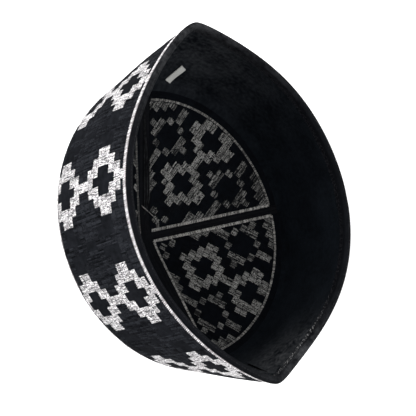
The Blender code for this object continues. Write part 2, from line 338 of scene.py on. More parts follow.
band_cloth = make_cloth("wall_cloth", (0.0035, 0.004, 0.005), (0.0085, 0.0093, 0.0115), 320, 0.00012, 0.9,
                        0.03, 0.0)
foot = RIM_ROLL + GAP
seat_end = foot + CORD_WIDTH + GAP
top_seat = SEAM_HEIGHT - 2 * GAP - CORD_WIDTH
section = [(foot, -REBATE), (seat_end, -REBATE)]
section += [(float(h), 0.0) for h in np.linspace(seat_end + GAP, top_seat - GAP, 24)]
section += [(top_seat, -REBATE), (SEAM_HEIGHT, -REBATE), (SEAM_HEIGHT, -SHELL)]
section += [(float(h), -SHELL) for h in np.linspace(top_seat, foot, 12)]
band = finish_piece("wall_band", sweep_round(section, WALL_COLUMNS), band_cloth, ["wall_shell"])

# The pattern on the wall is machine embroidery over the cloth, in cells counted along and round it:
# silver double diamonds, with black stitching between and plain cloth where nothing is worked.
# Each thread lies along the cap and is a rounded length whose ends go down into the cloth.

# How far the joints of long runs are staggered. Then for each kind of cell: threads in a row, their
# height, longest stitch and stagger, and how much their tones differ. A black stitch is one cell long.
STAGGER = 0.001
WORKING = {"S": (12, 0.00034, 0.0036, STAGGER, 0.06), "b": (7, 0.00024, None, 0.0002, 0.35)}

# One row of the chart is one row of cells from rim to crown. S is silver, b black and . plain.
# A diamond has the first row in its middle and the others on both sides of it.
WALL_CHART = (
    "SS....SSSS....SS",
    "bSS..SSbbSS..SSb",
    "bbSSSSbbbbSSSSbb",
    "bbbSSbbbbbbSSbbb",
)
BETWEEN_CHART = (
    "bbb..bbbbbb..bbb",
    "bbb...bbbb...bbb",
    "b.bbbbb..bbbbb.b",
)
# Each diamond: how far round its middle is from the middle of the top, the height at which its first
# column starts, the length of a column, how far it climbs for each metre round, and the width of a row.
DIAMONDS = (
    (0.0201, 0.0031, 0.00483, 0.06, 0.00582),
    (0.0854, 0.0029, 0.0047, 0.0, 0.00582),
    *((middle, 0.003, 0.0047, 0.0, 0.00582) for middle in (0.1511, 0.2168, 0.2825, 0.3482)),
    (0.413, 0.003, 0.0047, 0.0, 0.0056),
    (0.4771, 0.0016, 0.0045, 0.09, 0.0053),
    (0.5434, 0.003, 0.00468, 0.0, 0.00582),
)


def make_stitch_shape(sides, rings):
    """One length of thread along Y, from -1 to 1, with blunt rounded ends."""
    mesh = bmesh.new()
    bmesh.ops.create_uvsphere(mesh, u_segments=sides, v_segments=rings, radius=1,
                              matrix=Matrix.Rotation(math.radians(90), 4, "X"))
    for vertex in mesh.verts:
        end = abs(vertex.co.y)
        if end < 0.99:
            ring = math.hypot(vertex.co.x, vertex.co.z)
            round_off = 0.72 + 0.28 * ring
            vertex.co.x *= round_off / ring
            vertex.co.z *= round_off / ring
            vertex.co.y = math.copysign(end ** 0.25 if end > 0.01 else 0.0, vertex.co.y)
    return mesh_data("stitch_shape", mesh)


SHORT_THREAD = make_stitch_shape(6, 3)


def sew(name, shape, stitches, bend, material, nodes=()):
    """Repeats one thread for rows of (x, y, turn, length, width, height, seat, arch, tone) stitches.

    x, y and the turn place it on the flat work. An arch lifts its middle, as over a cord.
    """
    rows = np.array(stitches)
    x, y, turn, length, width, height, seat, arch, tone = rows.T[:, :, None]
    thread = np.array([vertex.co[:] for vertex in shape.vertices])
    across, along, out = thread.T[:, None, :]
    sideways = across * width / 2
    lengthways = along * length / 2
    flat_x = x + sideways * np.cos(turn) - lengthways * np.sin(turn)
    flat_y = y + sideways * np.sin(turn) + lengthways * np.cos(turn)
    flat_out = seat + out * height / 2 + arch * np.sqrt(np.maximum(0.0, 1 - along ** 2))
    flat = np.stack((flat_x, flat_y, flat_out), axis=-1).reshape(-1, 3)
    mesh = bmesh.new()
    for _ in rows:
        mesh.from_mesh(shape)
    data = mesh_data(name, mesh)
    data.vertices.foreach_set("co", bend(flat).astype(np.float32).ravel())
    shade = data.attributes.new("thread_tone", "FLOAT", "POINT")
    shade.data.foreach_set("value", np.repeat(rows[:, 8], len(thread)).astype(np.float32))
    data.update()
    mesh = bmesh.new()
    mesh.from_mesh(data)
    bmesh.ops.recalc_face_normals(mesh, faces=mesh.faces)
    bpy.data.meshes.remove(data)
    return finish_piece(name, mesh, material, nodes)


def make_fibres():
    """What thread shows close up: fine fibres, and dark specks where the ground shows through."""
    tree, given, made = open_group(
        "thread_fibres", {"Place": "Vector", "Tone": "Float", "Specks": "Float"}, {"Shade": "Float"})
    fibre = add_node(tree, "ShaderNodeTexNoise", {"Vector": given["Place"], "Scale": 900.0, "Detail": 2.0})
    spot = add_node(tree, "ShaderNodeTexNoise", {"Vector": given["Place"], "Scale": 1650.0, "Detail": 0.0})
    values = {"Value": spot.outputs["Fac"], "From Min": 0.56, "From Max": 0.61}
    speck = add_node(tree, "ShaderNodeMapRange", values)
    lost = add_sum(tree, "MULTIPLY", speck.outputs["Result"], given["Specks"])
    shade = add_sum(tree, "MULTIPLY_ADD", fibre.outputs["Fac"], 0.4, given["Tone"])
    fill_in(made, {"Shade": add_sum(tree, "SUBTRACT", shade, lost, use_clamp=True)})
    return tree


FIBRES = make_fibres()


def make_thread(name, dark, light, specks, rough, shine):
    """Embroidery thread. Every stitch has its own tone."""
    material, shader = new_material(name)
    tree = material.node_tree
    tone = add_node(tree, "ShaderNodeAttribute", attribute_name="thread_tone")
    place = add_node(tree, "ShaderNodeTexCoord")
    values = {"Place": place.outputs["Object"], "Tone": tone.outputs["Fac"], "Specks": specks}
    fibres = add_node(tree, "ShaderNodeGroup", values, node_tree=FIBRES)
    colour = add_mix(tree, fibres.outputs["Shade"], (*dark, 1), (*light, 1))
    fill_in(shader, {"Base Color": colour, "Roughness": rough, "Specular IOR Level": shine})
    return material


# The ends of a run are a little ragged, and between its stitches is a small overlap or a small gap. The
# middle of a thread lies just off the cloth, a little to one side and a little askew.
RAGGED = 0.00022
JOINTS = (-0.0002, -0.0001, 0.0002, 0.0005)
SEAT = 0.00006
ASIDE = 0.00005
ASKEW = 0.015
# The tones of stitches, and how much darker one in six is.
TONES = (0.15, 0.8)
DARKER = (0, 0, 0, 0, 0, 0.4)
# How far the work stops short of the grooves of the two white lines.
RIM_CLEAR = 0.0002
SEAM_CLEAR = 0.0004


def thread_run(stitches, rng, place, start, end, width, height, longest, shade=0.0, stagger=STAGGER):
    """Fills one thread's run with stitches, their joints staggered and some a little apart."""
    count = max(1, round((end - start) / longest))
    joints = [start + (end - start) * step / count for step in range(count + 1)]
    for number in range(1, count):
        joints[number] += rng.uniform(-stagger, stagger)
    joints[0] -= rng.uniform(0.0, RAGGED)
    joints[-1] += rng.uniform(0.0, RAGGED)
    for low, high in zip(joints, joints[1:]):
        high -= rng.choice(JOINTS)
        tone = rng.uniform(*TONES) - rng.choice(DARKER) + shade
        stitches.append((
            place + rng.uniform(-ASIDE, ASIDE), (low + high) / 2, rng.uniform(-ASKEW, ASKEW), high - low,
            width * rng.uniform(0.85, 1.08), height * rng.uniform(0.8, 1.2), SEAT, 0.0, tone))


def work_row(stitches, rng, line, kind, place, start, pitch, row_width):
    """Works the runs of one kind in one row of cells."""
    threads, height, longest, stagger, sway = WORKING[kind]
    for run in re.finditer(kind + "+", line):
        low = max(start + run.start() * pitch, seat_end + RIM_CLEAR)
        high = min(start + run.end() * pitch, top_seat - SEAM_CLEAR)
        for number in range(threads):
            across = place + ((number + 0.5) / threads - 0.5) * row_width
            thread_run(stitches, rng, across, low, high, row_width / threads, height, longest or pitch,
                       rng.uniform(-sway, sway), stagger)


# A diamond is seven rows, and between one and the next are five.
HALF_DIAMOND = 3.5
BETWEEN_ROWS = 5
rng = random.Random(7)
silver, black = [], []
for number, (middle, start, pitch, climb, row_width) in enumerate(DIAMONDS):
    for row in range(-3, 4):
        off = row * row_width
        for kind, stitches in (("S", silver), ("b", black)):
            work_row(stitches, rng, WALL_CHART[abs(row)], kind, middle + off, start + climb * off, pitch,
                     row_width)
    after, after_start, after_pitch, _, after_width = DIAMONDS[(number + 1) % len(DIAMONDS)]
    between = (after - middle) % ROUND - HALF_DIAMOND * (row_width + after_width)
    for row in range(BETWEEN_ROWS):
        part = (row + 0.5) / BETWEEN_ROWS
        work_row(black, rng, BETWEEN_CHART[min(row, 4 - row)], "b",
                 middle + HALF_DIAMOND * row_width + part * between,
                 start + (after_start - start) * part, pitch + (after_pitch - pitch) * part,
                 between / BETWEEN_ROWS)

silver_thread = make_thread("silver_thread", (0.045, 0.042, 0.046), (0.95, 0.925, 0.93), 1.2, 0.45, 0.3)
black_thread = make_thread("black_thread", (0.001, 0.0012, 0.0018), (0.019, 0.0205, 0.0245), 0.6, 0.8, 0.03)
wall_silver = sew("wall_diamonds", SHORT_THREAD, silver, lay_on_wall, silver_thread)
wall_black = sew("wall_ground_stitching", SHORT_THREAD, black, lay_on_wall, black_thread)

# The white line just above the rim is a cord sewn down under close, slanting satin stitches. A second
# one, alike but thinner, covers the seam between the wall and the crown.
SATIN_PITCH = 0.00115
SATIN_SLANT = 0.35
SATIN_THICK = 0.0005
CORD_SEAT = -REBATE + GAP
OVER_THREAD = make_stitch_shape(5, 5)
# Each line: name, the node it stands for, height, width and how far it rises.
WHITE_LINES = (
    ("rim_line", "rim_cord", RIM_ROLL + 2 * GAP + CORD_WIDTH / 2, CORD_WIDTH, 0.00085),
    ("crown_line", "crown_cord", SEAM_HEIGHT - 0.0009, 0.001, 0.00045),
)


def cord_stitches(rng, height, width, arch):
    """Satin stitches over a cord, all the way round."""
    count = round(ROUND / SATIN_PITCH)
    stitches = []
    for number in range(count):
        reach = width * 1.25 * rng.uniform(0.92, 1.15)
        stitches.append((
            (number + rng.uniform(-0.12, 0.12)) * ROUND / count, height,
            SATIN_SLANT + rng.uniform(-0.06, 0.06), reach, SATIN_PITCH * 0.54, SATIN_THICK,
            CORD_SEAT + 0.0003, arch, rng.uniform(0.0, 0.8)))
    return stitches


def cord_core(height, width, arch):
    """The section of the rounded cord under the stitches."""
    turns = [math.pi * step / 6 for step in range(7)]
    return [(height - width / 2 * math.cos(turn), CORD_SEAT + arch * math.sin(turn)) for turn in turns]


white_thread = make_thread("white_thread", (0.3, 0.27, 0.28), (0.95, 0.93, 0.935), 0.4, 0.45, 0.35)
for name, node, height, width, arch in WHITE_LINES:
    core = sweep_round(cord_core(height, width * 0.5, arch * 0.9), WALL_COLUMNS)
    finish_piece(name + "_core", core, white_thread, [node])
    sew(name, OVER_THREAD, cord_stitches(rng, height, width, arch), lay_on_wall, white_thread,
        [node])

# The edge of the opening is the band's own black cloth rolled over and turned in as a hem. A row of grey
# machine stitches runs along the front of the roll, and three rows catch the hem inside, with painted
# light making them paler near one tip.
HEM_WIDTH = 0.0085
HEM_STITCH_PITCH = 0.0021
HEM_ROWS = (0.0048, 0.0063, 0.0077)
# Distance round to the middle of the painted light on the inner hem stitches.
PAINTED_LIT_HEM = UNDERSIDE + 0.11
# How far out the back of hem and lining is, and their face.
HEM_FACE = -SHELL - GAP
LINING_FACE = HEM_FACE - LINING
# Length, width, height and seat of a stitch on the front of the roll, and of one inside.
FRONT_STITCH = (0.0013, 0.0003, 0.0003, -0.0012)
INNER_STITCH = (0.001, 0.0006, 0.0005, LINING_FACE - 0.0004)


def smooth_section(section, steps):
    """Rounds a closed section between its points."""
    points = np.array(section)
    made = []
    for number in range(len(points)):
        p0, p1, p2, p3 = (points[(number + k) % len(points)] for k in (-1, 0, 1, 2))
        for step in range(steps):
            t = step / steps
            place = 0.5 * (2 * p1 + (p2 - p0) * t + (2 * p0 - 5 * p1 + 4 * p2 - p3) * t ** 2
                           + (3 * p1 - p0 - 3 * p2 + p3) * t ** 3)
            made.append(tuple(map(float, place)))
    return made


def hem_pucker(turn, height, row):
    """Small puckers where the hem is sewn down."""
    pull = np.exp(-((height - HEM_ROWS[1]) / 0.0022) ** 2)
    return 0.0001 * pull * (np.sin(turn * 123) + 0.7 * np.sin(turn * 76 + 1))


edge_cloth = make_cloth("rim_cloth", (0.0009, 0.0011, 0.0017), (0.0026, 0.003, 0.0042), 340, 0.0001, 0.75,
                        0.04, 0.006, painted_lit=True)
roll_section = smooth_section([
    (RIM_ROLL, 0.0004), (0.0018, 0.0008), (0.0007, 0.0003), (0.0, -0.0014), (0.0006, -0.003),
    (0.0018, -0.0036), (0.0036, -0.0034), (HEM_WIDTH, LINING_FACE), (HEM_WIDTH, HEM_FACE),
    (RIM_ROLL, HEM_FACE),
], 3)
roll = finish_piece("rim_roll", sweep_round(roll_section, 400, relief=hem_pucker), edge_cloth,
                    ["rim_binding"])
stitches = []
for number in range(round(ROUND / HEM_STITCH_PITCH)):
    place = number * HEM_STITCH_PITCH
    stitches.append((place, 0.0001, math.radians(90), *FRONT_STITCH, 0.0, rng.uniform(-0.3, -0.1)))
    # Painted light: the inner hem stitches are paler near one tip, where the light falls.
    painted_lit = math.exp(-((place - PAINTED_LIT_HEM) / 0.03) ** 2)
    for height in HEM_ROWS:
        stitches.append((place + rng.uniform(0, HEM_STITCH_PITCH), height + rng.uniform(-0.0003, 0.0003),
                         math.radians(80), *INNER_STITCH, 0.0, painted_lit * rng.choice((0.3, 0.8, 1.3)) - 0.3))
hem_thread = make_thread("hem_thread", (0.008, 0.008, 0.01), (0.22, 0.22, 0.22), 0.3, 0.6, 0.1)
hem = sew("hem_stitches", SHORT_THREAD, stitches, lay_on_wall, hem_thread)

# The lining is thin plain black cotton, loose enough to pucker where it is caught at the hem and the
# tips, with a painted shadow near a tip for the mouth of one small tuck. It is sewn in under the hem and
# at the crown's seam.

# Each wrinkle of the lining: distance round from the middle of the underside, height, half length up,
# half width round, lift and how far its top leans round.
WRINKLES = (
    (0.102, 0.018, 0.016, 0.0035, 0.0016, 0.006),
    (0.11, 0.026, 0.014, 0.003, 0.0012, 0.008),
    (0.092, 0.02, 0.012, 0.0028, 0.0012, -0.004),
    (0.121, 0.02, 0.014, 0.003, 0.0014, 0.004),
    (0.142, 0.023, 0.012, 0.0022, 0.0014, 0.002),
    (0.13, 0.014, 0.01, 0.002, 0.0014, -0.003),
    (0.136, 0.017, 0.01, 0.0018, 0.0012, 0.003),
    (0.116, 0.013, 0.009, 0.0018, 0.001, 0.004),
    (-0.139, 0.014, 0.02, 0.003, 0.0006, -0.003),
    (-0.128, 0.022, 0.018, 0.0026, 0.0004, -0.003),
    (-0.06, 0.03, 0.022, 0.004, 0.0004, 0.004),
    (0.03, 0.028, 0.025, 0.004, 0.0004, -0.005),
)
# Spots of painted light on the cloth inside: distance round, height, how far it reaches and how much.
PAINTED_LIGHT_SPOTS = (
    (UNDERSIDE + 0.116, 0.016, 0.027, 0.85),
    (QUARTER + 0.03, 0.03, 0.05, 0.22),
    (0.115, 0.0, 0.045, 0.5),
)
# Rows of points up the back of the lining, and up its face.
BACK_ROWS = 20
FACE_ROWS = 40


def paint_light(piece):
    """Marks how much painted light each point of a piece gets."""
    marks = piece.data.attributes.new("painted_light", "FLOAT", "POINT")
    for around, height, reach, much in PAINTED_LIGHT_SPOTS:
        spot = Vector(lay_on_wall(np.array([[around, height, LINING_FACE]]))[0])
        for vertex, mark in zip(piece.data.vertices, marks.data):
            mark.value += much * math.exp(-((vertex.co - spot).length / reach) ** 2)


def lining_relief(turn, height, row):
    """Wrinkles and the soft unevenness of a thin lining, on its inner face only."""
    around = turn * ROUND / math.tau
    lift = 0.00012 * np.sin(turn * 18 + 3 * np.sin(height * 120)) * np.sin(height * 90)
    for place, middle, half_length, half_width, depth, lean in WRINKLES:
        up = (height - middle) / half_length
        off = (around - (UNDERSIDE + place) - lean * up) / half_width
        lift = lift - depth * np.exp(-off ** 2 - up ** 2)
    fade = np.clip((SEAM_HEIGHT - height) / 0.006, 0, 1)
    return np.where(row > BACK_ROWS, lift * fade, 0.0)


inner_cloth = make_cloth("lining_cloth", (0.0011, 0.0018, 0.0028), (0.0036, 0.0052, 0.0074), 420, 0.00008,
                         0.8, 0.04, 0.006, painted_lit=True)
foot_height = HEM_WIDTH - 0.0006
section = [(float(h), HEM_FACE) for h in np.linspace(foot_height, SEAM_HEIGHT, BACK_ROWS)]
section += [(float(h), LINING_FACE + 0.0002) for h in np.linspace(SEAM_HEIGHT, foot_height, FACE_ROWS)]
inner = finish_piece("lining_band", sweep_round(section, 480, relief=lining_relief), inner_cloth,
                     ["wall_lining"])
# Painted light on the lining and the roll, lighter near the tips where the light falls.
paint_light(inner)
paint_light(roll)
# The painted shadow in the mouth of the tuck, a dark sliver laid on the lining: distance round and height
# of its middle, lean, length and width.
TUCK_SHADOW = (UNDERSIDE + 0.136, 0.0294, math.radians(16), 0.034, 0.0013)
tuck_shadow = sew("lining_tuck_shadow", SHORT_THREAD, [(*TUCK_SHADOW, 0.0006, LINING_FACE - 0.0004, 0.0, 0.0)], lay_on_wall,
           make_thread("shadowed_cloth", (0.0005, 0.0005, 0.0006), (0.001, 0.001, 0.0012), 0.0, 0.9, 0.0))

# The size tab is a short woven tape with nothing on it, sewn flat to the lining near one tip. Its place
# is the distance round past the tip and the height of its two ends, and how far one long side is from
# the other.
TAB_FOOT = (0.0111, 0.0482)
TAB_HEAD = (0.0061, 0.0663)
TAB_ACROSS = (0.0044, 0.0027)
TAB_THICK = 0.0005


def lay_tab(flat):
    """Lays the tape, given across and along from 0 to 1, over the lining."""
    across, along, out = flat[:, 0], flat[:, 1], flat[:, 2]
    around = QUARTER + TAB_FOOT[0] + (TAB_HEAD[0] - TAB_FOOT[0]) * along + TAB_ACROSS[0] * across
    height = TAB_FOOT[1] + (TAB_HEAD[1] - TAB_FOOT[1]) * along + TAB_ACROSS[1] * across
    return lay_on_wall(np.stack((around, height, LINING_FACE - GAP - out), axis=-1))


def unit_cloth(across, along):
    """Flat cloth from 0 to 1 both ways, in this many squares."""
    mesh = bmesh.new()
    bmesh.ops.create_grid(mesh, x_segments=across, y_segments=along, size=0.5,
                          matrix=Matrix.Translation((0.5, 0.5, 0)))
    return mesh


def second_face(mesh):
    """Gives flat cloth its other face, and returns the points of that."""
    made = bmesh.ops.extrude_face_region(mesh, geom=mesh.faces[:])["geom"]
    return {item for item in made if isinstance(item, bmesh.types.BMVert)}


mesh = unit_cloth(8, 20)
for vertex in second_face(mesh):
    vertex.co.z = TAB_THICK
tape = make_cloth("tab_tape", (0.33, 0.33, 0.315), (0.43, 0.43, 0.41), 24, 0.00003, 0.6, 0.3, 0.1)
tab = finish_piece("blank_tab", bend_cloth(mesh, lay_tab), tape, ["size_tab"])

# The crown is four stiff quarter panels between the arms of a cross of softer cloth. Flat work for it
# is given in the cross's own frame, with the way out from the inner face as its third number.

# Thickness of a panel and of the cross, widths of its arms and its turn, radius of the line round the
# quarters, and how much longer the cone's slope is than its plan.
PANEL = 0.002
CHANNEL = 0.0012
LONG_ARM = 0.008
SHORT_ARM = 0.0058
CROSS_TURN = math.radians(4.3)
ARC_LINE = 0.0827
STEEP = math.hypot(1, CROWN_SLOPE)
QUARTERS = ((1, 1), (-1, 1), (-1, -1), (1, -1))
CROWN_EDGE = CROWN_RADIUS - 0.0012


def lay_on_crown(flat):
    """Bends flat work onto the crown's cone."""
    x, z, lift = flat[:, 0], flat[:, 1], flat[:, 2]
    turned_x = x * math.cos(CROSS_TURN) - z * math.sin(CROSS_TURN)
    turned_z = z * math.cos(CROSS_TURN) + x * math.sin(CROSS_TURN)
    height = crown_under(np.hypot(x, z)) + lift * STEEP
    points = np.stack((turned_x * CROWN_LONG_SCALE, height, turned_z * CROWN_WIDE_SCALE - CROWN_DROP),
                      axis=-1)
    return set_down(press(points, CORD_STAND))


def make_panel(side, face):
    """A quarter's cloth, a fan from the inner corner to the outer edge, with its thickness."""
    mesh = unit_cloth(28, 36)
    corner_x, corner_z = SHORT_ARM / 2, LONG_ARM / 2
    first = math.asin(corner_z / CROWN_EDGE)
    last = math.acos(corner_x / CROWN_EDGE)
    for vertex in mesh.verts:
        angle = first + (last - first) * vertex.co.y
        x = corner_x + (CROWN_EDGE * math.cos(angle) - corner_x) * vertex.co.x
        z = corner_z + (CROWN_EDGE * math.sin(angle) - corner_z) * vertex.co.x
        vertex.co = (side * x, face * z, 0)
    bmesh.ops.remove_doubles(mesh, verts=mesh.verts, dist=MERGE)
    for vertex in second_face(mesh):
        taper = min(1.0, max(0.0, (vertex.co.xy.length - ARC_LINE) / (CROWN_EDGE - ARC_LINE)))
        vertex.co.z = PANEL * (1 - 0.75 * taper ** 2)
    return bend_cloth(mesh, lay_on_crown)


panel_cloth = make_cloth("crown_cloth", (0.0005, 0.0008, 0.0015), (0.0016, 0.0023, 0.0036), 320, 0.0001,
                         0.75, 0.03, 0.004)
for number, (side, face) in enumerate(QUARTERS, start=1):
    finish_piece(f"crown_panel_{number}", make_panel(side, face), panel_cloth,
                               [f"crown_quarter_{number}"])

# The same embroidery fills every quarter, along its middle line: two silver diamonds in a chain, a
# broken diamond on each side, and steps along the outer edge. It shows on both faces, bright outside
# and greyer inside, where the back of the work is. Rows and columns are counted from the inner diamond.

# The size of a cell, where the inner diamond is, and the place and width of the quarters' edge line.
CROWN_COLUMN = 0.0043
CROWN_ROW = 0.0051
INNER_DIAMOND = 0.0438
EDGE_LINE = 0.0006
EDGE_WIDTH = 0.0017
# A run up to here goes on to the quarter's edge.
FAR = 99.0
# The longest stitch, and where threads may start and end, counted along the quarter.
CROWN_STITCH = 0.0042
NEAREST = 0.006
FARTHEST = 0.092
# Threads in a row of cells and how high they stand.
CROWN_SILVER = (10, 0.0003)
CROWN_GROUND = (6, 0.0002)
# Silver runs: row, first column, last column. Every row but the middle one is worked on both sides.
CROWN_DIAMONDS = (
    (0, -4, -2), (0, 2, 6), (1, -3, -1), (1, 1, 3), (1, 5, 7), (1, 9, FAR),
    (2, -2, 2), (2, 6, FAR), (3, -1, 1), (3, 7, 9),
)
CROWN_STEPS = (
    (0, -7.5, -6.5), (1, -6.5, -5.5),
    (2.5, 3.5, 4.5), (3.5, 2.5, 5.5), (4.5, 1.5, 2.5), (4.5, 5.5, 6.5),
    (5.5, -FAR, 1.5), (5.5, 6.5, 9), (6.5, 1.5, 2.5), (6.5, 5.5, 6.5),
    (7.5, 2.5, 5.5), (8.5, 3.5, 4.5), (4.5, -FAR, -1.5), (3.5, -FAR, -2.5),
    (7.5, 7.5, FAR), (8.5, 6.5, FAR), (9.5, 5.5, FAR), (10.5, 4.5, FAR),
)
# Black runs between them, in the same count.
CROWN_BLACK = (
    (0, 6, 6.5), (1, -4.5, -3), (1, 3, 5), (2, -3.5, -2), (2, 2, 6), (3, -3, -1), (3, 1, 3), (3, 5, 7),
    (2.5, 4.5, 6), (6.5, -FAR, 1.5), (7.5, -FAR, 2.5), (8.5, -FAR, 3.5), (9.5, -FAR, 5.5), (8.5, 4.5, 6.5),
    (7.5, 5.5, 7.5), (6.5, 6.5, FAR), (5.5, 9, FAR),
)
# How far each quarter's work sits to one side of its middle line, and how far the line along the long
# arm leans away from the arm for each metre along it.
WORK_SHIFT = (0.0, 0.0, 0.0009, -0.0008)
LONG_LEAN = (0.045, 0.08, -0.02, 0.0)


def developed(along, across):
    """Rolls a quarter's flat work up into the cone: its place in the plan of the crown."""
    radius = np.hypot(along, across) / STEEP
    angle = math.pi / 4 + np.arctan2(across, along) * STEEP
    return radius * np.cos(angle), radius * np.sin(angle)


def lay_on_face(where):
    """The bend that lays work, given in the plan of the crown, on its outer or inner face."""
    def bend(flat):
        lift = PANEL + flat[:, 2] if where == "outside" else -flat[:, 2]
        return lay_on_crown(np.stack((flat[:, 0], flat[:, 1], lift), axis=-1))
    return bend


def unroll(number, where):
    """The bend that lays developed work, along and across a quarter's middle line, on the crown."""
    side, face = QUARTERS[number]
    lay = lay_on_face(where)

    def bend(flat):
        x, z = developed(flat[:, 0], flat[:, 1] + WORK_SHIFT[number])
        return lay(np.stack((side * x, face * z, flat[:, 2]), axis=-1))
    return bend


def long_edge(number, x):
    """How far from the long arm's middle a quarter's edge line runs."""
    return LONG_ARM / 2 + EDGE_LINE + LONG_LEAN[number] * x


def inside_edges(along, across, number):
    """Whether developed work is within the lines at a quarter's edges."""
    x, z = developed(along, across + WORK_SHIFT[number])
    clear = EDGE_WIDTH / 2 if number < 3 else -EDGE_LINE
    return ((x > SHORT_ARM / 2 + EDGE_LINE + EDGE_WIDTH / 2) & (z > long_edge(number, x) + clear)
            & (np.hypot(x, z) < ARC_LINE - EDGE_WIDTH / 2))


def work_crown(stitches, rng, runs, threads, height, number, shade, lost):
    """Threads for a table of runs, cut off where the quarter ends. Some are lost at the back of the work."""
    for row, first, last in runs:
        for side in ((1, -1) if row else (1,)):
            for thread in range(threads):
                off = 2 * (thread + 0.5) / threads - 1
                across = (side * row + off / 2) * CROWN_ROW
                blunt = 0.06 * off ** 4 * CROWN_COLUMN if last - first <= 1 else 0.0
                low = max(INNER_DIAMOND + first * CROWN_COLUMN + blunt, NEAREST)
                high = min(INNER_DIAMOND + last * CROWN_COLUMN - blunt, FARTHEST)
                along = np.arange(low, high, 0.0002)
                kept = along[inside_edges(along, across, number)]
                if len(kept) < 5:
                    continue
                run = []
                thread_run(run, rng, across, kept[0], kept[-1], CROWN_ROW / threads * 0.94, height,
                           CROWN_STITCH, shade + rng.uniform(-0.14, 0.14))
                stitches += [(s[1], s[0], s[2] - math.pi / 2, *s[3:]) for s in run if rng.random() > lost]


grey_thread = make_thread("grey_thread", (0.006, 0.006, 0.0065), (0.275, 0.272, 0.262), 1.1, 0.6, 0.1)
dull_thread = make_thread("dull_black_thread", (0.0003, 0.0005, 0.001), (0.002, 0.0026, 0.0039), 0.4, 0.7,
                          0.03)
# How each face is worked: its two threads, how much darker its steps are than its diamonds, and the
# share of threads that is lost in its diamonds, its steps and its ground.
CROWN_FACES = (
    ("outside", silver_thread, black_thread, 0.0, (0.0, 0.0, 0.0)),
    ("inside", grey_thread, dull_thread, -0.3, (0.06, 0.08, 0.1)),
)
with_panel = [[] for _ in QUARTERS]
for number, pieces in enumerate(with_panel):
    for where, bright_thread, ground_thread, step_shade, lost in CROWN_FACES:
        bright, ground = [], []
        work_crown(bright, rng, CROWN_DIAMONDS, *CROWN_SILVER, number, 0.0, lost[0])
        work_crown(bright, rng, CROWN_STEPS, *CROWN_SILVER, number, step_shade, lost[1])
        work_crown(ground, rng, CROWN_BLACK, *CROWN_GROUND, number, 0.0, lost[2])
        for kind, stitches, thread, slot in (
                ("diamonds", bright, bright_thread, "white_thread"),
                ("ground", ground, ground_thread, "crown_cloth")):
            pieces.append(sew(f"crown_{kind}_{number + 1}_{where}", SHORT_THREAD, stitches,
                              unroll(number, where), thread))

# A line of close satin stitches edges every quarter, along both straight sides and the outer arc. It is
# white outside, and thin and grey inside.
EDGE_PITCH = 0.00055
EDGE_SLANT = 0.2
EDGE_ARCH = 0.00035


def edge_path(number):
    """Points a stitch apart round a quarter's edge line: place, direction of the line, and which part."""
    left_x = SHORT_ARM / 2 + EDGE_LINE
    first = math.asin(long_edge(number, ARC_LINE) / ARC_LINE)
    last = math.acos(left_x / ARC_LINE)
    path = []
    length = ARC_LINE * math.cos(first) - left_x
    for step in range(round(length / EDGE_PITCH)):
        x = left_x + (step + 0.5) * EDGE_PITCH
        path.append((x, long_edge(number, x), 0.0, 0))
    length = ARC_LINE * (last - first)
    for step in range(round(length / EDGE_PITCH)):
        angle = first + (step + 0.5) * EDGE_PITCH / ARC_LINE
        path.append((ARC_LINE * math.cos(angle), ARC_LINE * math.sin(angle), angle + math.pi / 2, 1))
    low_z = long_edge(number, left_x)
    length = ARC_LINE * math.sin(last) - low_z
    for step in range(round(length / EDGE_PITCH)):
        path.append((left_x, low_z + (step + 0.5) * EDGE_PITCH, math.pi / 2, 2))
    return path


pale_thread = make_thread("pale_grey_thread", (0.025, 0.025, 0.025), (0.34, 0.33, 0.315), 0.5, 0.6, 0.1)
# The line on each face: its thread, how bright it is on every quarter and how wide, along the long arm,
# round the arc and along the short arm. Inside, its brightness differs quarter by quarter as painted light
# and shade. One quarter has its line hidden under the loose fold inside.
EDGE_FACES = (
    ("inside", pale_thread, ((-0.45, -0.1, 0.15), (0.15, 0.1, 0.15), (0.15, 0.0, 0.15), (None, -0.1, 0.15)),
     (1.0, 0.8, 1.15)),
    ("outside", white_thread, ((0.3, 0.3, 0.3),) * 4, (1.0, 1.0, 1.0)),
)
for number, (side, face) in enumerate(QUARTERS):
    for where, edge_thread, tones_with_shade, widths in EDGE_FACES:
        stitches = []
        for x, z, way, part in edge_path(number):
            bright = tones_with_shade[number][part]
            if bright is None:
                continue
            turn = way + rng.uniform(-0.05, 0.05) + EDGE_SLANT
            turn = math.atan2(face * math.sin(turn), side * math.cos(turn))
            stitches.append((side * x, face * z, turn, EDGE_WIDTH * widths[part], EDGE_PITCH * 1.35, 0.0003,
                             0.0, EDGE_ARCH, bright + rng.uniform(-0.2, 0.5)))
        with_panel[number].append(sew(f"crown_edge_{number + 1}_{where}", OVER_THREAD, stitches,
                                      lay_on_face(where), edge_thread))

# The cross between the quarters is soft black cloth that lets the crown fold flat. Its long arm is
# wider and has fold lines pressed along it, and inside a loose fold of it lies over one quarter's edge.

# How many squares the cloth has across an arm and along it, and how soon its folds begin at the middle.
ARM_ACROSS = 12
ARM_ALONG = 40
FOLD_FADE = 0.004
# Where the fold's ridges are, from 0 at the arm's middle to 1 at the free edge, where the fold begins
# across the long arm, and then that edge: place along and across the long arm.
FOLD_RIDGES = (0.2, 0.5, 0.75)
FOLD_ROOT = 0.0012
FOLD_EDGE = ((0.014, -0.0004), (0.019, -0.004), (0.023, -0.0052), (0.0283, -0.0056), (0.0392, -0.0052),
             (0.048, -0.0036), (0.0605, -0.0017), (0.0749, -0.0001))
# The height of a pressed ridge, the depth of a valley, and the loose fold's own thickness.
RIDGE = 0.0004
VALLEY = 0.0003
FOLD_THICK = 0.0006


def arm_relief(across, half):
    """The folds along an arm: two pressed ridges and a valley."""
    off = across / half
    return RIDGE * math.exp(-((abs(off) - 0.45) / 0.14) ** 2) - VALLEY * math.exp(-(off / 0.12) ** 2)


